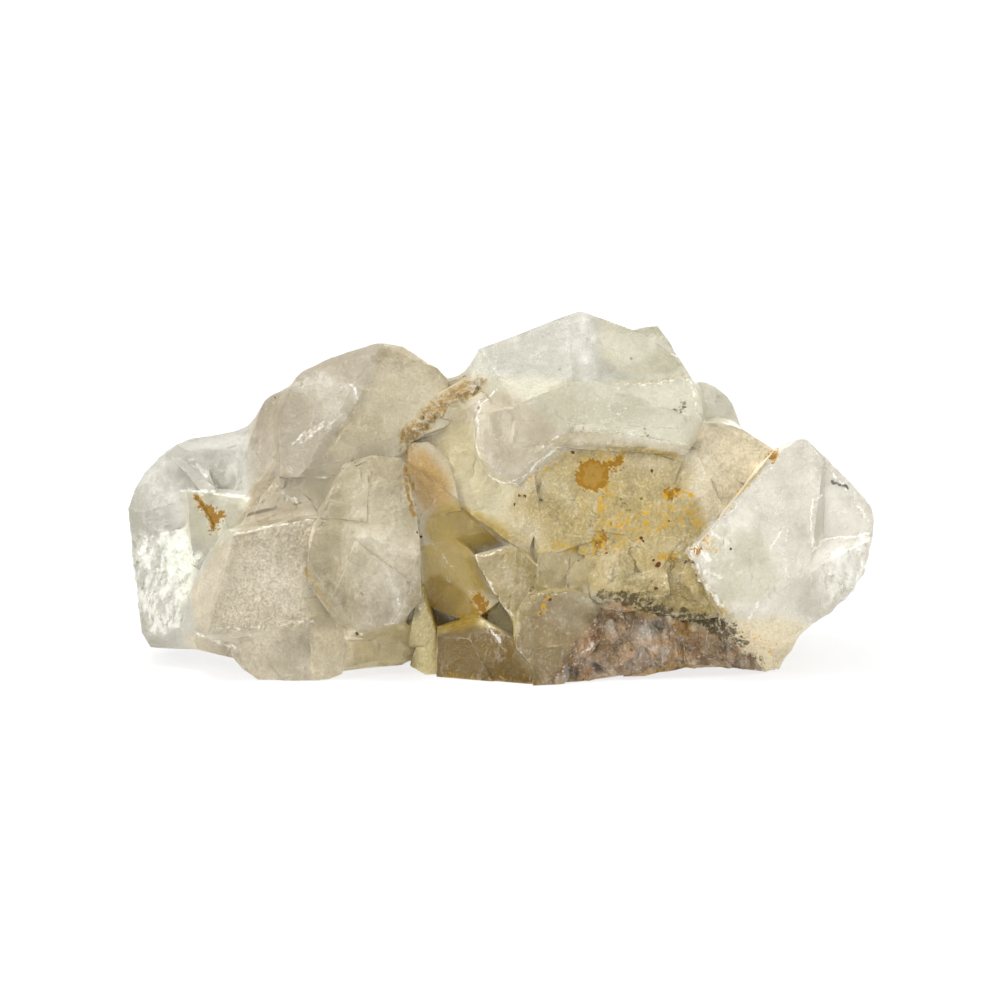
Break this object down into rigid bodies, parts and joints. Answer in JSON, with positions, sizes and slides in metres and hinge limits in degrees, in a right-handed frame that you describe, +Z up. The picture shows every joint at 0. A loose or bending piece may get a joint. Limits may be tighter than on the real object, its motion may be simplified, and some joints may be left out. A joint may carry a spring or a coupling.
{
  "type": "fluorite cluster",
  "caption": "Hand-sized cluster of clear to cloudy pale fluorite crystals grown together, broken off flat underneath, with rust stains and a purple seam.",
  "frame": {"origin": "centre of the bounding box at the level of the broken base", "axes": "+X along the longest extent, to the right seen from the show face; -Y towards the viewer of the show face; +Z up"},
  "size_m": [0.1192, 0.0674, 0.0555],
  "materials": {
    "fluorite": "clear to cloudy pale yellowish crystal with glassy cleavage faces, frosted faces, rust stains and a purple seam"
  },
  "bodies": {
    "root": {"fluorite_cluster": "fluorite"}
  },
  "joints": []
}
